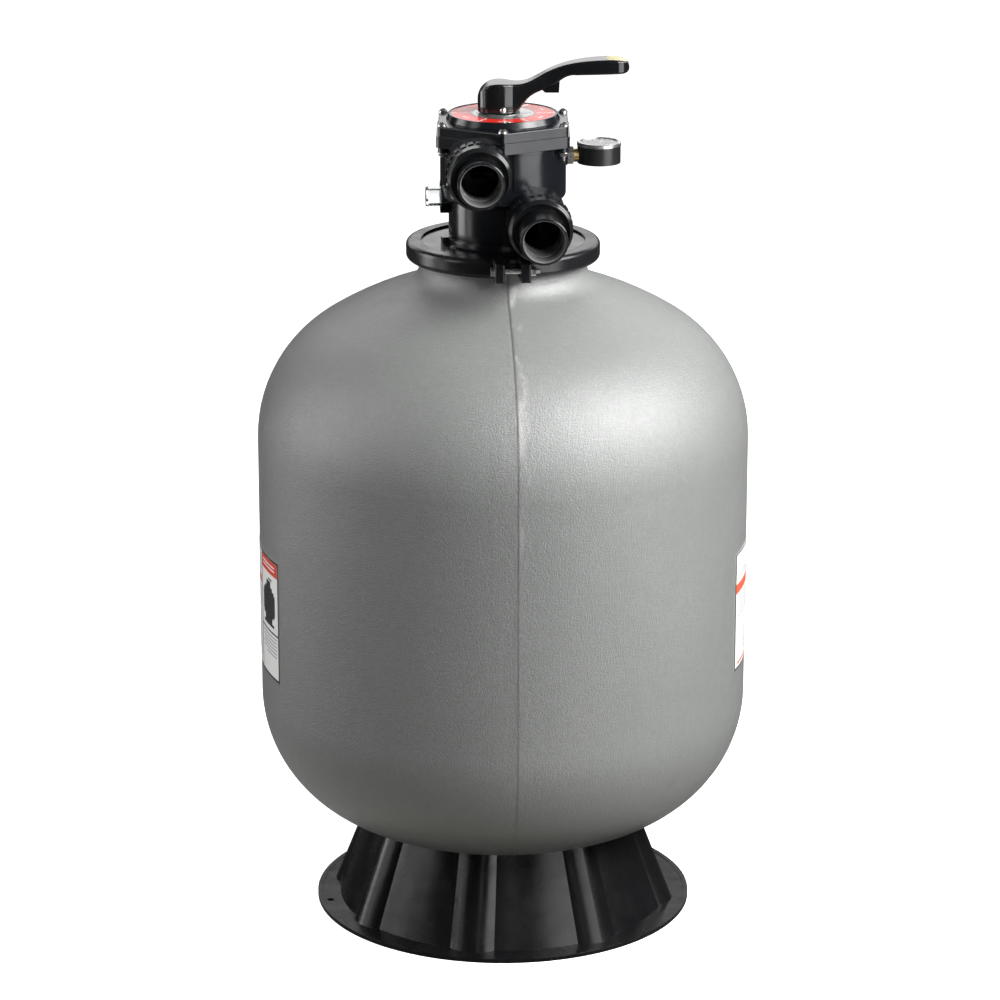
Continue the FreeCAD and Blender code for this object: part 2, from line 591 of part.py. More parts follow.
# --- unions ----------------------------------------------------------------------------

def union_nut(name):
    """Ring nut with a ribbed band, a smooth nose and a lip that holds the tailpiece's collar."""
    _, _, reach, standout, _ = PORTS[name]
    front = reach - standout
    back = front - NUT_LENGTH
    nose_r = NUT_R - 1.4
    band_end = back + NUT_BAND
    ring = spun([(NUT_BORE_R, back), (NUT_R - 2.2, back), (NUT_R - 2.2, band_end), (nose_r, band_end + 1.5),
                 (nose_r, front - 6), (nose_r - 1.6, front - 4.4), (nose_r - 1.6, front - 2),
                 (nose_r - 3.4, front), (NUT_LIP_R, front), (NUT_LIP_R, front - NUT_LIP),
                 (NUT_BORE_R, front - NUT_LIP)])
    rib = block(-3.0, 3.0, -NUT_R, -NUT_R + 3, back + 1.0, band_end)
    return ring.fuse(around(rib, NUT_RIBS)).removeSplitter()


def tailpiece(name):
    """Collar, pipe with a rim at the mouth, pipe socket, and grooves in the bore behind the socket."""
    reach = PORTS[name][2]
    face = sleeve_end(name)
    step = reach - SOCKET_DEPTH
    pipe_r = TAIL_R - 0.8
    profile = [(TAIL_BORE_R, face), (COLLAR_R, face), (COLLAR_R, face + COLLAR_T), (pipe_r, face + COLLAR_T),
               (pipe_r, reach - 9), (TAIL_R, reach - 8.2), (TAIL_R, reach - 1), (TAIL_R - 1, reach),
               (MOUTH_R, reach), (SOCKET_R, reach - 3), (SOCKET_R, step), (TAIL_BORE_R, step)]
    at = step - 1.5
    while at - GROOVE_PITCH > face + 1.0:
        profile += [(TAIL_BORE_R, at), (TAIL_BORE_R + GROOVE_DEPTH, at - 1.2), (TAIL_BORE_R, at - 2.4)]
        at -= GROOVE_PITCH
    return spun(profile)


# --- gauge and sight glass -----------------------------------------------------------------

def gauge_pieces():
    along = V(1, 0, 0)
    at = V(GAUGE_X, 0, 0)
    z0, z1 = GAUGE_Z, GAUGE_Z + GAUGE_H
    adapter = hexagon(19.0, V(78.5, 0, GAUGE_AXIS_Z), along, 7.5)
    adapter = adapter.fuse(rod(5.0, V(66, 0, GAUGE_AXIS_Z), along, 13)).cut(
        rod(3.0, V(60, 0, GAUGE_AXIS_Z), along, 40))
    stem_piece = rod(8.2, V(86, 0, GAUGE_AXIS_Z), along, 6.5).fuse(
        rod(5.0, V(92, 0, GAUGE_AXIS_Z), along, 12)).cut(rod(2.0, V(80, 0, GAUGE_AXIS_Z), along, 30))
    stem_piece = stem_piece.cut(tube(GAUGE_R + 0.1, GAUGE_R - 2.0, z0, z1, at).cut(
        rod(5.0, V(80, 0, GAUGE_AXIS_Z), along, 22)))
    case = tube(GAUGE_R, GAUGE_R - 1.2, z0, z1 - 2, at).fuse(rod(GAUGE_R, at + V(0, 0, z0), UP, 1.2))
    case = case.cut(rod(5.0, V(80, 0, GAUGE_AXIS_Z), along, 22))
    bezel = spun([(GAUGE_R - 3, z1 + 0.6), (GAUGE_R - 0.5, z1 + 0.6), (GAUGE_R + 0.5, z1 - 0.4),
                  (GAUGE_R + 0.5, z1 - 4), (GAUGE_R, z1 - 4), (GAUGE_R, z1 - 2), (GAUGE_R - 3, z1 - 2)])
    bezel.translate(at)
    lens = rod(GAUGE_R - 3, at + V(0, 0, z1 - 2), UP, 1.6)
    dial = tube(GAUGE_R - 1.4, 1.2, z1 - 9, z1 - 8, at)
    hand = rod(2.2, at + V(0, 0, z1 - 6.5), UP, 1.2).fuse(rod(0.8, at + V(0, 0, z1 - 14), UP, 8))
    blade = Part.Face(Part.makePolygon([V(-6, -0.9, 0), V(-6, 0.9, 0), V(19, 0.25, 0), V(19, -0.25, 0),
                                        V(-6, -0.9, 0)])).extrude(V(0, 0, 0.6))
    blade.rotate(ORIGIN, UP, -135.0)
    blade.translate(at + V(0, 0, z1 - 6.4))
    needle = hand.fuse(blade)
    shapes.update(gauge_adapter=adapter, gauge_stem=stem_piece, gauge_case=case, gauge_bezel=bezel,
                  gauge_lens=lens, gauge_dial=dial, gauge_needle=needle)


def sight_pieces():
    out = V(-1, 0, 0)
    glass = rod(SIGHT_R, V(-77, 0, SIGHT_Z), out, 18).cut(rod(SIGHT_R - 2.5, V(-77, 0, SIGHT_Z), out, 15))
    rim = glass.Edges
    glass = glass.makeFillet(1.5, [e for e in rim if e.BoundBox.XMax < -94.9])
    seal = Part.makeTorus(SIGHT_SEAL_R, 0.9, V(-76.1, 0, SIGHT_Z), out)
    shapes.update(sight_glass=glass, sight_glass_oring=seal)


# --- inside the tank -----------------------------------------------------------------------

def diffuser():
    """Slotted basket under the valve that spreads the water over the sand."""
    basket = tube(78, 75, 770, 836).fuse([tube(78, 24.6, 770, 773), tube(90, 77, 832, 836)])
    slot = block(-1.6, 1.6, -80, -70, 782, 824)
    return basket.cut(around(slot, 36))


def lateral_hub():
    hub = rod(42, V(0, 0, 140), UP, 50).fuse(rod(20, V(0, 0, 105), UP, 36))
    sockets = around(rod(LATERAL_R + 2.5, V(0, -36, LATERAL_Z), V(0, -1, 0), 16), LATERALS)
    hub = hub.fuse(sockets).cut(rod(STANDPIPE_R, V(0, 0, 152), UP, 60))
    cavity = rod(20, V(0, 0, 146), UP, 20)
    ways = around(rod(LATERAL_R, V(0, -24, LATERAL_Z), V(0, -1, 0), 40), LATERALS)
    return hub.cut([cavity] + ways).removeSplitter()


def lateral():
    """Closed tube with ring slots along it."""
    pitch = (LATERAL_END - 62.0) / LATERAL_SLOTS
    points = [(LATERAL_R - 2.5, 25), (LATERAL_R, 25)]
    for k in range(LATERAL_SLOTS):
        at = 58.0 + k * pitch
        points += [(LATERAL_R, at), (LATERAL_R - 1.2, at), (LATERAL_R - 1.2, at + 1.4), (LATERAL_R, at + 1.4)]
    points += [(LATERAL_R, LATERAL_END - 3), (LATERAL_R - 3, LATERAL_END), (0, LATERAL_END),
               (0, LATERAL_END - 3), (LATERAL_R - 2.5, LATERAL_END - 3)]
    piece = spun(points)
    piece.rotate(ORIGIN, V(1, 0, 0), 90)
    piece.translate(V(0, 0, LATERAL_Z))
    return piece


def standpipe():
    return tube(STANDPIPE_R, STANDPIPE_R - STANDPIPE_WALL, 152, 890)


def drain_pieces():
    """Threaded insert in the boss, its gasket, and a screw cap with a ring and a finger bar."""
    out = V(0, 1, 0)

    def at(y):
        return V(0, y, DRAIN_Z)

    lip = DRAIN_FACE + 2.0
    end = lip + 18.0
    start = lip + 6.8
    gasket = rod(20.0, at(DRAIN_FACE), out, 2.0).cut(rod(DRAIN_R, at(DRAIN_FACE), out, 2.0))
    fitting = rod(DRAIN_R, at(250), out, end - 250).fuse(hexagon(36.0, at(lip), out, 6.0))
    fitting = fitting.cut(rod(8.5, at(240), out, 80))
    cap = rod(17.5, at(start), out, end + 4.0 - start)
    cap = cap.cut(rod(DRAIN_R + 0.3, at(start - 1), out, end + 2.2 - start + 1))
    grip = rod(1.6, at(start + 0.4) + V(17.3, 0, 0), out, 13.0)
    grips = []
    for k in range(12):
        copy = grip.copy()
        copy.rotate(at(0), out, 30.0 * k)
        grips.append(copy)
    bar = block(-3, 3, end + 3.5, end + 9.5, DRAIN_Z - 13, DRAIN_Z + 13)
    seal = Part.makeTorus(10.8, 1.1, at(end + 1.1), out)
    cap = cap.fuse(grips + [bar])
    shapes.update(drain_gasket=gasket, drain_fitting=fitting, drain_cap=cap, drain_cap_oring=seal)


def build():
    shapes["tank_shell"] = tank_shell()
    shapes["base_stand"] = base_stand()
    shapes["label_left"] = label(-118.0, -68.2, 327.0, 482.0)
    shapes["label_right"] = label(66.2, 116.0, 334.0, 486.0)
    shapes["neck_oring"] = torus(98.0, 2.5, NECK_TOP + 2.5)
    shapes["clamp_half_left"] = clamp_half(-1)
    shapes["clamp_half_right"] = clamp_half(1)
    bolts, washers, nuts = clamp_fasteners()
    shapes.update(clamp_bolts=bolts, clamp_washers=washers, clamp_nuts=nuts)
    shapes["valve_body"] = valve_body()
    shapes["valve_cover"] = valve_cover()
    shapes["cover_oring"] = torus(72.9, 1.2, COVER_Z - 1.2)
    screws, cover_washers, cover_nuts = cover_fasteners()
    shapes["cover_screws"] = Part.makeCompound(screws)
    shapes["cover_washers"] = Part.makeCompound(cover_washers)
    shapes["cover_nuts"] = Part.makeCompound(cover_nuts)
    shapes["position_plate"] = tube(PLATE_R, PLATE_BORE_R, PLATE_Z, PLATE_Z + 1.0)
    shapes["pointer_disc"] = tube(PLATE_BORE_R - 0.4, 9.6, PLATE_Z + 0.3, PLATE_Z + 1.1)
    shapes["thrust_washer"] = tube(21.0, 9.6, PLATE_Z + 1.1, WASHER_TOP)
    shapes["spider_gasket"] = spider_gasket()
    shapes["rotor"] = rotor()
    shapes["stem"] = stem()
    shapes["stem_oring"] = torus(STEM_R - 1.0, 1.0, 1008.0)
    shapes["return_spring"] = return_spring()
    shapes["handle"] = handle()
    shapes["handle_patch"] = turned(handle_patch_room().common(handle_plan()), COVER_TURN)
    shapes["handle_pin"] = handle_pin()
    for name in PORTS:
        shapes[name + "_union_nut"] = laid(union_nut(name), name)
        shapes[name + "_tailpiece"] = laid(tailpiece(name), name)
        shapes[name + "_union_oring"] = laid(torus(30.0, 1.2, sleeve_end(name) - 1.2), name)
    gauge_pieces()
    sight_pieces()
    shapes["diffuser"] = diffuser()
    shapes["lateral_hub"] = lateral_hub()
    shapes["laterals"] = Part.makeCompound(around(lateral(), LATERALS))
    shapes["standpipe"] = standpipe()
    drain_pieces()


build()
os.makedirs("parts", exist_ok=True)
for node, shape in shapes.items():
    shape.exportStep("parts/" + node + ".step")
    print(node, len(shape.Solids), "valid" if shape.isValid() else "INVALID", round(shape.Volume / 1000.0, 1))
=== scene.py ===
import json
import math
import bmesh
import bpy
from mathutils import Matrix, Vector


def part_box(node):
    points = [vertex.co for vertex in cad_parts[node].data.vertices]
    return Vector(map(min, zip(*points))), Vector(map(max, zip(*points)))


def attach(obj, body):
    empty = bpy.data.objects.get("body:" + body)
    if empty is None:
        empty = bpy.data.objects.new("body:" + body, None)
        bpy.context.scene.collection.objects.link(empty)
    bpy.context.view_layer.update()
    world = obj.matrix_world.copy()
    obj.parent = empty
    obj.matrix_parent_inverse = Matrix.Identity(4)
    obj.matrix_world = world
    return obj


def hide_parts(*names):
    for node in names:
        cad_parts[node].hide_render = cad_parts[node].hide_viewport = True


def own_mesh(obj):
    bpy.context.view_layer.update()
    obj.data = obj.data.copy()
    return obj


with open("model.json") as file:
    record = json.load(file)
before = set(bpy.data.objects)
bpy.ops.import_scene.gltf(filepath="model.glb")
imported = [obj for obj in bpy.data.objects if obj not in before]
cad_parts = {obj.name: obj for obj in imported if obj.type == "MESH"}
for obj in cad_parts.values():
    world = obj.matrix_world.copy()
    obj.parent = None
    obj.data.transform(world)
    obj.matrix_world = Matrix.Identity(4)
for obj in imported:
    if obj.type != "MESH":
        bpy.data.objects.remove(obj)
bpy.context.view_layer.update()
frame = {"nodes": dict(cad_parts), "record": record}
NODES = frame["nodes"]

# Driving places, in metres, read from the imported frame.
TANK_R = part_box("tank_shell")[1].x
PLATE_LOW, PLATE_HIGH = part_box("position_plate")
PLATE_R = (PLATE_HIGH.x - PLATE_LOW.x) / 2
PLATE_TOP = PLATE_HIGH.z
POINTER_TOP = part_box("pointer_disc")[1].z
DIAL_LOW, DIAL_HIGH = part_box("gauge_dial")
GAUGE_AT = (DIAL_LOW + DIAL_HIGH) / 2

# Driving values of this script, in metres and degrees.
COVER_TURN = -3.6           # how far the cover and lever are turned on the tank
SEAM_LINE_Z = (0.60, 0.66)  # the seam's dark line fades in over these heights
SMEAR_Z = (0.54, 0.60)      # and its pale smears over these
PRINT_T = 0.00015           # thickness of screen print
CAMERA_AZ = -3.6            # from the front, towards -X
CAMERA_OUT = 4.8267
CAMERA_SIDE = -0.0037
CAMERA_Z = 1.9897
CAMERA_DOWN = 16.878
LENS = 145.0                # in millimetres, on a 36 mm sensor
CAMERA_TURN = Matrix.Rotation(math.radians(CAMERA_AZ), 4, "Z")


# --- node helpers -----------------------------------------------------------------

class Surface:
    """A principled material and short ways to add nodes to it."""

    def __init__(self, name):
        self.material = bpy.data.materials.new(name)
        self.material.use_nodes = True
        self.tree = self.material.node_tree
        self.shader = self.tree.nodes["Principled BSDF"]
        self.coords = self.add("ShaderNodeTexCoord").outputs["Object"]

    def plug(self, socket, value):
        """Link another node's output to a socket, or give the socket a fixed value."""
        if isinstance(value, bpy.types.NodeSocket):
            self.tree.links.new(value, socket)
        else:
            socket.default_value = value

    def add(self, kind, inputs=None, **settings):
        node = self.tree.nodes.new(kind)
        for key, value in settings.items():
            setattr(node, key, value)
        for key, value in (inputs or {}).items():
            self.plug(node.inputs[key], value)
        return node

    def set(self, **values):
        """Set or link shader sockets. Underscores stand for spaces."""
        for key, value in values.items():
            self.plug(self.shader.inputs[key.replace("_", " ")], value)

    def noise(self, scale, detail=3.0, roughness=0.5, stretch=None):
        vector = self.coords
        if stretch:
            vector = self.add("ShaderNodeMapping", {"Vector": self.coords, "Scale": stretch}).outputs[0]
        inputs = {"Vector": vector, "Scale": scale, "Detail": detail, "Roughness": roughness}
        return self.add("ShaderNodeTexNoise", inputs).outputs["Fac"]

    def spread(self, value, low, high, start=0.3, end=0.7):
        """Map start..end of a pattern to low..high, and hold it there beyond."""
        inputs = {"Value": value, "From Min": start, "From Max": end, "To Min": low, "To Max": high}
        return self.add("ShaderNodeMapRange", inputs).outputs[0]

    def blend(self, fac, a, b):
        """Colour a where fac is 0 and colour b where it is 1."""
        node = self.add("ShaderNodeMix", data_type="RGBA")
        for key, value in ((0, fac), (6, a), (7, b)):
            self.plug(node.inputs[key], value)
        return node.outputs[2]

    def maths(self, operation, a, b=0.0):
        return self.add("ShaderNodeMath", {0: a, 1: b}, operation=operation).outputs[0]

    def within_pipe(self, axis, outside, inside):
        """1 within radius inside of a pipe that runs along Y at (x, z) = axis, 0 past radius outside."""
        parts = self.add("ShaderNodeSeparateXYZ", {0: self.coords}).outputs
        across = self.maths("SUBTRACT", parts["X"], axis[0])
        up = self.maths("SUBTRACT", parts["Z"], axis[1])
        squares = self.maths("ADD", self.maths("MULTIPLY", across, across), self.maths("MULTIPLY", up, up))
        distance = self.maths("SQRT", squares)
        return self.spread(distance, 1.0, 0.0, inside, outside)

    def bump(self, height, distance, strength=1.0, under=None):
        inputs = {"Height": height, "Distance": distance, "Strength": strength}
        if under:
            inputs["Normal"] = under
        return self.add("ShaderNodeBump", inputs).outputs[0]


def grey(value):
    return (value, value, value, 1)


# --- materials -----------------------------------------------------------------------

def tank_plastic():
    """Mid grey moulded shell: pebbled skin, soft mottling, faint scuffs, and marks along the mould seam."""
    s = Surface("tank plastic")
    cloud = s.noise(5.0, 4.0)
    fine = s.noise(190.0, 3.0)
    base = s.blend(s.spread(cloud, 0.0, 1.0), (0.203, 0.209, 0.204, 1), (0.230, 0.236, 0.230, 1))
    base = s.blend(s.spread(fine, 0.0, 0.45), base, (0.172, 0.176, 0.171, 1))
    scuff = s.noise(22.0, 6.0, 0.65, (1.0, 1.0, 0.25))
    base = s.blend(s.spread(scuff, 0.0, 0.4, 0.68, 0.8), base, (0.34, 0.34, 0.33, 1))
    place = s.add("ShaderNodeSeparateXYZ", {0: s.coords}).outputs
    seam_gap = s.maths("ABSOLUTE", place["X"])
    base = seam_marks(s, base, place, seam_gap)
    pebble = s.bump(s.noise(500.0, 5.0, 0.62), 0.0010, 0.85)
    beside_seam = s.spread(seam_gap, 1.0, 0.0, 0.004, 0.035)
    flow = s.maths("MULTIPLY", beside_seam, s.noise(120.0, 4.0, 0.6, (1.0, 1.0, 0.5)))
    sag = s.bump(s.noise(38.0, 2.0), 0.002, 0.16, s.bump(flow, 0.0012, 0.6, pebble))
    s.set(Base_Color=base, Roughness=s.spread(s.noise(60.0, 3.0), 0.28, 0.37), Normal=sag)
    s.set(Specular_IOR_Level=0.64)
    return s.material


def seam_marks(s, base, place, seam_gap):
    """On the shoulder, a dark line along the mould seam and broken pale smears to its +X side."""
    line = s.spread(seam_gap, 1.0, 0.0, 0.0004, 0.0022)
    line = s.maths("MULTIPLY", line, s.spread(place["Z"], 0.0, 1.0, *SEAM_LINE_Z))
    base = s.blend(s.maths("MULTIPLY", line, 0.55), base, (0.07, 0.07, 0.068, 1))
    streaks = s.noise(30.0, 3.0, 0.6, (2.0, 1.0, 0.5))
    smear = s.maths("MULTIPLY", s.spread(place["X"], 1.0, 0.0, 0.002, 0.016),
                    s.spread(place["X"], 0.0, 1.0, 0.0, 0.002))
    smear = s.maths("MULTIPLY", smear, s.spread(streaks, 0.0, 0.5, 0.48, 0.60))
    smear = s.maths("MULTIPLY", smear, s.spread(place["Z"], 0.0, 1.0, *SMEAR_Z))
    return s.blend(smear, base, (0.46, 0.46, 0.45, 1))


def black_plastic(name, colour, roughness, grain=900.0, grain_depth=0.00006, wave=0.25, dust=0.03,
                  edge=0.0006, bore=None, shine=0.5):
    """Moulded black plastic: faint grain, sink waves, dust, hairline scratches and softened edges.

    bore is the (x, z) of a pipe's axis: the inside of the pipe is duller, and painted paler with light rings,
    a painted highlight for light caught on the rings inside the pipe.
    """
    s = Surface(name)
    cloud = s.noise(14.0, 4.0)
    pale = tuple(min(1.0, c * 1.7 + 0.002) for c in colour[:3]) + (1,)
    base = s.blend(s.spread(cloud, 0.0, 0.6), colour, pale)
    specks = s.noise(700.0, 4.0, 0.7)
    base = s.blend(s.spread(specks, 0.0, dust, 0.6, 0.75), base, grey(0.22))
    scratch = s.noise(60.0, 5.0, 0.7, (1.0, 1.0, 12.0))
    rough = s.spread(s.noise(30.0, 4.0), roughness * 0.8, roughness * 1.25)
    rough = s.maths("ADD", rough, s.spread(scratch, 0.0, 0.08, 0.62, 0.75))
    if bore:
        # painted highlight: inside the pipe the colour is raised and broken into light rings, standing in for
        # light caught on its inner rings
        inside = s.within_pipe(bore, 0.0262, 0.0250)
        painted_ring_glints = s.blend(s.spread(s.noise(150.0, 1.0, 0.5, (0.0, 1.0, 0.0)), 0.0, 1.0), grey(0.04), grey(0.26))
        base = s.blend(inside, base, painted_ring_glints)
        rough = s.maths("ADD", rough, s.maths("MULTIPLY", inside, 0.10))
    rounded = s.add("ShaderNodeBevel", {"Radius": edge}, samples=4).outputs[0]
    grain_bump = s.bump(s.noise(grain, 2.0), grain_depth, 0.6, rounded)
    waves = s.bump(s.noise(26.0, 1.0), 0.0015, wave, grain_bump)
    s.set(Base_Color=base, Roughness=rough, Normal=waves, Specular_IOR_Level=shine)
    return s.material


def metal(name, colour, roughness, streak=(1.0, 1.0, 30.0)):
    s = Surface(name)
    line = s.noise(220.0, 4.0, 0.6, streak)
    dark = tuple(c * 0.7 for c in colour[:3]) + (1,)
    base = s.blend(s.spread(line, 0.0, 0.6), colour, dark)
    s.set(Base_Color=base, Metallic=1.0, Roughness=s.spread(line, roughness * 0.8, roughness * 1.5))
    s.set(Normal=s.bump(line, 0.0001, 0.3))
    return s.material


def paper(name, colour):
    """Laminated print with a trace of fibre and handling marks."""
    s = Surface(name)
    fibre = s.noise(900.0, 3.0)
    mark = s.noise(30.0, 5.0)
    dull = tuple(c * 0.86 for c in colour[:3]) + (1,)
    base = s.blend(s.spread(mark, 0.0, 0.5, 0.5, 0.8), colour, dull)
    s.set(Base_Color=base, Roughness=s.spread(mark, 0.28, 0.42))
    s.set(Normal=s.bump(fibre, 0.00005, 0.4), Coat_Weight=0.25, Coat_Roughness=0.2)
    return s.material


def rubber():
    s = Surface("seal rubber")
    bloom = s.noise(90.0, 4.0)
    base = s.blend(s.spread(bloom, 0.0, 0.4), (0.012, 0.012, 0.012, 1), (0.05, 0.05, 0.048, 1))
    s.set(Base_Color=base, Roughness=s.spread(bloom, 0.55, 0.8), Normal=s.bump(s.noise(1200.0), 0.00008, 0.5))
    return s.material


def clear(name, roughness=0.03, wave=0.12):
    """Clear moulded plastic with a few faint marks."""
    s = Surface(name)
    mark = s.noise(120.0, 5.0, 0.7)
    s.set(Base_Color=(0.93, 0.95, 0.95, 1), Transmission_Weight=1.0, IOR=1.49)
    s.set(Roughness=s.spread(mark, roughness, roughness + 0.08, 0.55, 0.8))
    s.set(Normal=s.bump(s.noise(60.0, 1.0), 0.0006, wave))
    return s.material


def pale_plastic(name, colour, roughness=0.45, shine=0.5):
    s = Surface(name)
    cloud = s.noise(20.0, 4.0)
    dull = tuple(c * 0.82 for c in colour[:3]) + (1,)
    s.set(Base_Color=s.blend(s.spread(cloud, 0.0, 1.0), colour, dull))
    s.set(Roughness=s.spread(cloud, roughness, 0.6))
    s.set(Normal=s.bump(s.noise(500.0, 2.0), 0.0001, 0.4), Specular_IOR_Level=shine)
    return s.material


def gloss_print(name, colour, roughness=0.16, coat=0.6):
    """Screen print under a clear coat."""
    s = Surface(name)
    cloud = s.noise(45.0, 4.0)
    dull = tuple(c * 0.78 for c in colour[:3]) + (1,)
    s.set(Base_Color=s.blend(s.spread(cloud, 0.0, 0.7), colour, dull))
    s.set(Roughness=s.spread(cloud, roughness, roughness * 1.6), Coat_Weight=coat, Coat_Roughness=0.08)
    s.set(Normal=s.bump(s.noise(70.0, 2.0), 0.0004, 0.15))
    return s.material


LOOKS = {
    "tank_plastic": tank_plastic(),
    "stand_plastic": black_plastic("stand plastic", (0.004, 0.004, 0.0045, 1), 0.25, 700.0, 0.00008, 0.35,
                                   shine=0.32),
    "label_paper": paper("label paper", (0.92, 0.92, 0.91, 1)),
    "seal_rubber": rubber(),
    "clamp_plastic": black_plastic("clamp plastic", (0.007, 0.007, 0.008, 1), 0.24, 600.0, 0.00012, 0.2, 0.04,
                                   0.0012, shine=0.36),
    "steel": metal("stainless steel", (0.66, 0.65, 0.62, 1), 0.22),
    "spring_steel": metal("spring steel", (0.5, 0.5, 0.48, 1), 0.3),
    "valve_plastic": black_plastic("valve plastic", (0.0042, 0.005, 0.0068, 1), 0.19, shine=0.42),
    "union_plastic": black_plastic("union plastic", (0.0045, 0.005, 0.0058, 1), 0.20, 800.0, 0.00008),
    "rotor_plastic": black_plastic("rotor plastic", (0.05, 0.05, 0.05, 1), 0.35),
    "handle_plastic": black_plastic("handle plastic", (0.004, 0.0045, 0.0052, 1), 0.14, 1000.0, 0.00003,
                                    0.15, 0.02),
    "patch_print": pale_plastic("patch print", (0.66, 0.60, 0.38, 1), 0.5, 0.15),
    "dial_print": gloss_print("dial print", (0.74, 0.030, 0.020, 1), 0.22, 0.15),
    "pointer_print": metal("pointer foil", (0.72, 0.72, 0.71, 1), 0.32, (1.0, 30.0, 1.0)),
    "brass": metal("brass", (0.72, 0.53, 0.24, 1), 0.25),
    "gauge_paint": black_plastic("gauge paint", (0.010, 0.010, 0.011, 1), 0.30, 900.0, 0.00008, 0.05),
    "chrome_trim": metal("chrome trim", (0.74, 0.74, 0.75, 1), 0.28, (1.0, 1.0, 4.0)),
    "clear_lens": clear("clear plastic"),
    "dial_face": pale_plastic("dial face", (0.42, 0.42, 0.42, 1), 0.35),
    "needle_black": black_plastic("needle paint", (0.012, 0.012, 0.012, 1), 0.3),
    "internal_plastic": pale_plastic("internal plastic", (0.62, 0.62, 0.58, 1)),
    "pipe_plastic": pale_plastic("pipe plastic", (0.78, 0.78, 0.75, 1)),
    "fitting_plastic": black_plastic("fitting plastic", (0.012, 0.012, 0.013, 1), 0.35),
}


def pipe_plastic(port):
    """Plastic of one port's tailpiece, whose inside is told apart by its distance from the pipe's axis."""
    low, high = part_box(port + "_tailpiece")
    axis = ((low.x + high.x) / 2, (low.z + high.z) / 2)
    return black_plastic(port + " pipe plastic", (0.0045, 0.005, 0.0058, 1), 0.20, bore=axis)


# Nodes that differ from the look of their record slot.
OWN_LOOKS = {port + "_tailpiece": pipe_plastic(port) for port in ("pump", "return", "waste")}
# the thrust washer under the hub gets a dark metal colour: painted shade of the slot beneath the hub, on dull
# steel
OWN_LOOKS["thrust_washer"] = metal("dull washer in painted shade", (0.22, 0.22, 0.22, 1), 0.45)
OWN_LOOKS["gauge_lens"] = clear("gauge window", 0.22, 0.02)
INK_DARK = paper("dark ink", (0.03, 0.03, 0.032, 1))
INK_GREY = paper("grey ink", (0.42, 0.42, 0.43, 1))
INK_RED = paper("red ink", (0.78, 0.07, 0.035, 1))
INK_ORANGE = paper("orange ink", (0.86, 0.13, 0.06, 1))
PRINT_WHITE = gloss_print("white print", (0.85, 0.85, 0.84, 1))
PRINT_GREEN = gloss_print("green print", (0.05, 0.32, 0.12, 1))
PRINT_BLACK = gloss_print("black print", (0.012, 0.012, 0.013, 1))


def dress_nodes():
    """Give every CAD node the material of its record slot."""
    slots = {s["node"]: s["material_slot"] for s in frame["record"]["subparts"]}
    for name, node in NODES.items():
        look = OWN_LOOKS.get(name) or LOOKS[slots[name]]
        if not node.data.materials:
            node.data.materials.append(look)
        for k in range(len(node.data.materials)):
            node.data.materials[k] = look


# --- mesh helpers -----------------------------------------------------------------------

def mesh_piece(name, bm, look, body):
    """Turn a bmesh into a shown piece that rides on a body."""
    bmesh.ops.recalc_face_normals(bm, faces=bm.faces)
    data = bpy.data.meshes.new(name)
    bm.to_mesh(data)
    bm.free()
    for face in data.polygons:
        face.use_smooth = True
    data.set_sharp_from_angle(angle=math.radians(35))
    data.materials.append(look)
    piece = bpy.data.objects.new(name, data)
    bpy.context.scene.collection.objects.link(piece)
    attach(piece, body)
    return piece


def add_sheet(bm, inner, outer):
    """Closed thin sheet from two matching grids of points (rows of equal length)."""
    layers = []
    for grid in (inner, outer):
        layers.append([[bm.verts.new(p) for p in row] for row in grid])
    rows, cols = len(inner), len(inner[0])
    for layer in layers:
        for i in range(rows - 1):
            for j in range(cols - 1):
                bm.faces.new((layer[i][j], layer[i][j + 1], layer[i + 1][j + 1], layer[i + 1][j]))
    rim = [(0, j) for j in range(cols)] + [(i, cols - 1) for i in range(1, rows)]
    rim += [(rows - 1, j) for j in range(cols - 2, -1, -1)] + [(i, 0) for i in range(rows - 2, 0, -1)]
    for a, b in zip(rim, rim[1:] + rim[:1]):
        corners = ((0, a), (0, b), (1, b), (1, a))
        bm.faces.new([layers[side][row][col] for side, (row, col) in corners])


def wall_strip(bm, az0, az1, z0, z1, depth, proud):
    """Strip of print on the vessel's cylinder, proud of it by depth..proud."""
    steps = max(1, int(abs(az1 - az0) / 1.5))
    grids = []
    for r in (TANK_R + depth, TANK_R + proud):
        row = [polar(r, az0 + (az1 - az0) * k / steps) for k in range(steps + 1)]
        grids.append([[p + Vector((0, 0, z)) for p in row] for z in (z0, z1)])
    add_sheet(bm, grids[0], grids[1])


def flat_arc(bm, r0, r1, az0, az1, z0, z1, centre=Vector((0, 0, 0))):
    """Flat printed arc around a vertical axis."""
    steps = max(1, int(abs(az1 - az0) / 3.0))
    grids = []
    for z in (z0, z1):
        rows = []
        for r in (r0, r1):
            rows.append([centre + polar(r, az0 + (az1 - az0) * k / steps, z) for k in range(steps + 1)])
        grids.append(rows)
    add_sheet(bm, grids[0], grids[1])


def polar(radius, azimuth, z=0.0):
    a = math.radians(azimuth)
    return Vector((radius * math.sin(a), -radius * math.cos(a), z))


# --- stage --------------------------------------------------------------------------------

def add_camera():
    scene = bpy.context.scene
    camera = bpy.data.objects.new("camera", bpy.data.cameras.new("camera"))
    camera.data.lens = LENS
    camera.data.sensor_width = 36.0
    camera.data.clip_end = 60.0
    camera.location = CAMERA_TURN @ Vector((CAMERA_SIDE, -CAMERA_OUT, CAMERA_Z))
    camera.rotation_euler = (math.radians(90.0 - CAMERA_DOWN), 0, math.radians(CAMERA_AZ))
    scene.collection.objects.link(camera)
    scene.camera = camera


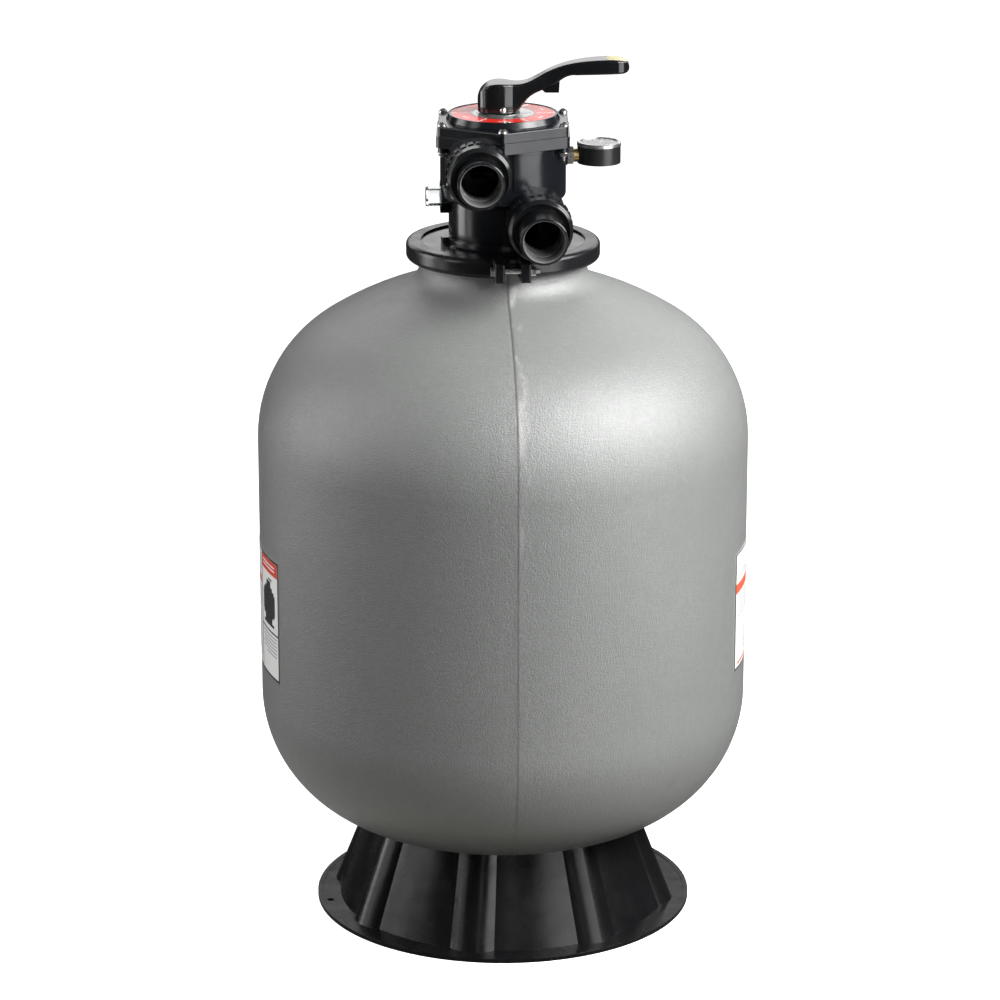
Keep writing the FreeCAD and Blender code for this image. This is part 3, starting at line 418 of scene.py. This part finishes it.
def add_floor():
    """White floor that casts no light on the object and isn't seen in reflections."""
    bpy.ops.mesh.primitive_plane_add(size=60.0, location=(0, 0, 0))
    floor = bpy.context.object
    floor.name = "floor"
    s = Surface("floor")
    pale = s.blend(s.spread(s.noise(0.6, 2.0), 0.0, 1.0), grey(0.86), grey(0.88))
    s.set(Base_Color=pale, Roughness=0.6, Emission_Color=grey(1.0), Emission_Strength=1.0)
    floor.data.materials.append(s.material)
    floor.visible_diffuse = False
    floor.visible_glossy = False


def add_world():
    """Surroundings that glow from below, as a white floor does, and are nearly dark above."""
    world = bpy.data.worlds.new("studio")
    bpy.context.scene.world = world
    world.use_nodes = True
    tree = world.node_tree
    coords = tree.nodes.new("ShaderNodeTexCoord")
    split = tree.nodes.new("ShaderNodeSeparateXYZ")
    ramp = tree.nodes.new("ShaderNodeValToRGB")
    lift = tree.nodes.new("ShaderNodeMapRange")
    lift.inputs["From Min"].default_value = -1.0
    tree.links.new(coords.outputs["Generated"], split.inputs[0])
    tree.links.new(split.outputs["Z"], lift.inputs["Value"])
    tree.links.new(lift.outputs[0], ramp.inputs[0])
    stops = ramp.color_ramp.elements
    stops[0].position, stops[0].color = 0.0, (0.60, 0.58, 0.52, 1)
    stops[1].position, stops[1].color = 1.0, grey(0.12)
    for position, level in ((0.24, 0.33), (0.34, 0.05), (0.48, 0.03), (0.60, 0.04)):
        stops.new(position).color = grey(level)
    tree.links.new(ramp.outputs[0], tree.nodes["Background"].inputs["Color"])
    tree.nodes["Background"].inputs["Strength"].default_value = 1.0


def softbox(name, azimuth, distance, height, size, radiance, aim_z=0.6):
    """Rectangular light that faces the tank's axis; azimuth is from the camera's side, + to the right."""
    lamp = bpy.data.lights.new(name, "AREA")
    lamp.shape = "RECTANGLE"
    lamp.size, lamp.size_y = size
    lamp.energy = radiance * math.pi * size[0] * size[1]
    lamp_object = bpy.data.objects.new(name, lamp)
    lamp_object.location = CAMERA_TURN @ polar(distance, azimuth, height)
    aim = Vector((0, 0, aim_z)) - lamp_object.location
    lamp_object.rotation_euler = aim.to_track_quat("-Z", "Y").to_euler()
    lamp_object.visible_camera = False
    bpy.context.scene.collection.objects.link(lamp_object)
    return lamp_object


def add_lights():
    """Keys from the right, weak lights from the left, and some that show only in reflections."""
    softbox("key side", 85.0, 2.6, 2.30, (1.2, 1.6), 11.8)
    softbox("key", 60.0, 2.6, 2.30, (1.2, 1.5), 18.8)
    softbox("key front", 32.0, 1.9, 1.62, (0.52, 0.58), 17.5)
    softbox("key high", 52.0, 2.4, 3.0, (1.4, 1.2), 7.6)
    softbox("left", -64.0, 2.6, 1.6, (0.7, 1.9), 3.4)
    softbox("left rim", -98.0, 2.4, 1.1, (0.9, 1.9), 5.8)
    for name, azimuth, distance, height, size, radiance in (
            ("back", 180.0, 3.2, 2.25, (6.0, 1.7), 1.6),
            ("low right", 50.0, 2.6, 0.45, (1.9, 0.7), 4.6),
            ("low left", -76.0, 2.6, 0.38, (0.6, 0.6), 2.4),
            ("ports", 6.0, 2.6, 0.95, (0.5, 0.4), 1.2)):
        sheen = softbox(name, azimuth, distance, height, size, radiance, height)
        sheen.visible_diffuse = False


def stage():
    """Everything round the object, and the plain view transform."""
    add_camera()
    add_floor()
    add_world()
    add_lights()
    view = bpy.context.scene.view_settings
    view.view_transform = "Standard"
    view.look = "None"


# --- printed details ------------------------------------------------------------------------

class LabelInk:
    """Generic print on one label.

    u runs from the edge nearest the front (0) to the far edge (1), and v upwards.
    depth and proud are the ink's lower and upper faces, measured outwards from the vessel's wall.
    """

    WIDTH = 47.0    # degrees round the vessel

    def __init__(self, name, az_edge, away):
        low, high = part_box(name)
        self.name, self.az_edge, self.away = name, az_edge, away
        self.z0, self.height = low.z, high.z - low.z
        self.inks = {}

    def strip(self, ink, u0, u1, v0, v1, depth=0.00040, proud=0.00055):
        if ink not in self.inks:
            self.inks[ink] = bmesh.new()
        az0, az1 = (self.az_edge + self.away * self.WIDTH * u for u in (u0, u1))
        z0, z1 = (self.z0 + self.height * v for v in (v0, v1))
        wall_strip(self.inks[ink], az0, az1, z0, z1, depth, proud)

    def lines(self, u0, u1, v0, v1, pitch=0.030, thick=0.011):
        """Block of grey lines in place of text, with ragged ends and a gap after every sixth line."""
        v, line = v1, 0
        while v - thick > v0:
            ragged = (u1 - u0) * (0.04 + 0.10 * ((line * 7) % 5) / 4.0 + (0.3 if line % 6 == 5 else 0.0))
            self.strip("grey", u0, u1 - ragged, v - thick, v)
            v -= pitch * (1.7 if line % 6 == 5 else 1.0)
            line += 1

    def outline(self, profile, middle, low, high):
        """Dark upright shape made of thin strips; profile gives half widths in u from low to high."""
        step = (high - low) / len(profile)
        for k, half in enumerate(profile):
            self.strip("dark", middle - half, middle + half, low + k * step, low + (k + 1) * step)

    def finish(self, looks):
        for ink, bm in self.inks.items():
            mesh_piece(f"{self.name}_{ink}", bm, looks[ink], "tank")


def left_label():
    """Black rules, a red header over a drawing of the filter, and two columns of grey lines."""
    ink = LabelInk("label_left", -68.2, -1)
    for v0, v1 in ((0.0, 0.018), (0.982, 1.0)):
        ink.strip("dark", 0.0, 1.0, v0, v1)
    ink.strip("dark", 0.0, 0.010, 0.018, 0.982)
    ink.strip("dark", 0.286, 0.294, 0.018, 0.982)
    ink.strip("red", 0.014, 0.284, 0.868, 0.980)
    for v in (0.905, 0.935):
        ink.strip("white", 0.05, 0.25, v, v + 0.012, 0.00056, 0.00068)
    foot = (0.085, 0.060, 0.062, 0.090)
    neck = (0.098, 0.085, 0.060, 0.034, 0.034)
    vessel = foot + (0.100,) * 6 + neck
    ink.outline(vessel, 0.150, 0.43, 0.80)
    ink.strip("dark", 0.095, 0.150, 0.81, 0.825)
    ink.strip("dark", 0.012, 0.286, 0.378, 0.392)
    ink.lines(0.03, 0.27, 0.15, 0.355)
    ink.strip("red", 0.32, 0.60, 0.70, 0.76)
    ink.lines(0.32, 0.97, 0.79, 0.95)
    ink.lines(0.32, 0.97, 0.08, 0.66)
    ink.finish({"dark": INK_DARK, "red": INK_RED, "grey": INK_GREY, "white": LOOKS["label_paper"]})


def right_label():
    """Black rules, a red mark, an orange band, grey lines and a small table."""
    ink = LabelInk("label_right", 66.2, 1)
    for v0, v1 in ((0.0, 0.014), (0.986, 1.0)):
        ink.strip("dark", 0.0, 1.0, v0, v1)
    ink.strip("dark", 0.0, 0.016, 0.014, 0.986)
    ink.strip("red", 0.30, 0.42, 0.84, 0.94)
    ink.strip("red", 0.46, 0.80, 0.86, 0.92)
    ink.lines(0.10, 0.90, 0.755, 0.815)
    ink.strip("orange", 0.014, 0.996, 0.655, 0.735)
    ink.lines(0.06, 0.94, 0.42, 0.625, 0.034, 0.012)
    for k in range(7):
        v = 0.10 + 0.28 * k / 6.0
        ink.strip("grey", 0.08, 0.92, v, v + 0.006)
    for u in (0.08, 0.22, 0.36, 0.64, 0.914):
        ink.strip("grey", u, u + 0.006, 0.106, 0.38)
    ink.strip("orange", 0.06, 0.94, 0.035, 0.055)
    ink.finish({"dark": INK_DARK, "red": INK_RED, "grey": INK_GREY, "orange": INK_ORANGE})


def dial_print():
    """Six stations on the red ring: white dividers and short bars, with a green and a white mark in front."""
    z0, z1 = PLATE_TOP, PLATE_TOP + PRINT_T
    white, green, black = bmesh.new(), bmesh.new(), bmesh.new()
    inner, outer = 0.0385, PLATE_R - 0.0008
    flat_arc(black, inner, inner + 0.0012, 0, 360, z0, z1)
    flat_arc(black, outer - 0.0012, outer, 0, 360, z0, z1)
    for k in range(6):
        az = COVER_TURN + 60.0 * k
        flat_arc(white, inner + 0.0014, outer - 0.0014, az + 29.2, az + 30.8, z0, z1)
        flat_arc(white, 0.0520, 0.0532, az - 7, az + 7, z0, z1)
    flat_arc(green, 0.0565, outer - 0.0016, COVER_TURN + 1.0, COVER_TURN + 6.0, z0, z1 + 0.0001)
    flat_arc(white, 0.0565, outer - 0.0016, COVER_TURN + 6.2, COVER_TURN + 9.0, z0, z1 + 0.0001)
    mesh_piece("dial_marks_white", white, PRINT_WHITE, "tank")
    mesh_piece("dial_marks_green", green, PRINT_GREEN, "tank")
    mesh_piece("dial_rings", black, PRINT_BLACK, "tank")


def pointer_print():
    """Black arrow on the foil disc that turns with the lever, and a small tail mark."""
    z0, z1 = POINTER_TOP, POINTER_TOP + PRINT_T
    bm = bmesh.new()
    direction = 90.0 + COVER_TURN
    along = polar(1.0, direction)
    across = Vector((-along.y, along.x, 0))

    def prism(points):
        low = [bm.verts.new(along * a + across * b + Vector((0, 0, z0))) for a, b in points]
        high = [bm.verts.new(along * a + across * b + Vector((0, 0, z1))) for a, b in points]
        bm.faces.new(low)
        bm.faces.new(high)
        for k in range(len(points)):
            j = (k + 1) % len(points)
            bm.faces.new((low[k], low[j], high[j], high[k]))

    prism([(0.0355, 0), (0.024, 0.0085), (0.024, 0.004), (0.0215, 0.004), (0.0215, -0.004), (0.024, -0.004),
           (0.024, -0.0085)])
    prism([(-0.0335, 0.0028), (-0.0235, 0.0012), (-0.0235, -0.0012), (-0.0335, -0.0028)])
    mesh_piece("pointer_arrow", bm, PRINT_BLACK, "selector")


def gauge_print():
    """Scale of the pressure gauge: long and short ticks over 270 degrees."""
    z0, z1 = DIAL_HIGH.z, DIAL_HIGH.z + 0.00012
    bm = bmesh.new()
    centre = Vector((GAUGE_AT.x, GAUGE_AT.y, 0))
    for k in range(31):
        az = -135.0 + 9.0 * k
        inner, half = (0.0165, 0.9) if k % 5 == 0 else (0.0185, 0.45)
        flat_arc(bm, inner, 0.0208, az - half, az + half, z0, z1, centre)
    flat_arc(bm, 0.0208, 0.0213, -135.0, 135.0, z0, z1, centre)
    mesh_piece("gauge_scale", bm, PRINT_BLACK, "tank")


def spring_piece():
    """The return spring again, as a piece that rides on the stem in place of the hidden CAD spring."""
    node = NODES["return_spring"]
    piece = bpy.data.objects.new("spring_coil", node.data.copy())
    bpy.context.scene.collection.objects.link(piece)
    piece.matrix_world = node.matrix_world
    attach(piece, "stem")
    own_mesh(piece)
    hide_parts("return_spring")


stage()
dress_nodes()
left_label()
right_label()
dial_print()
pointer_print()
gauge_print()
spring_piece()
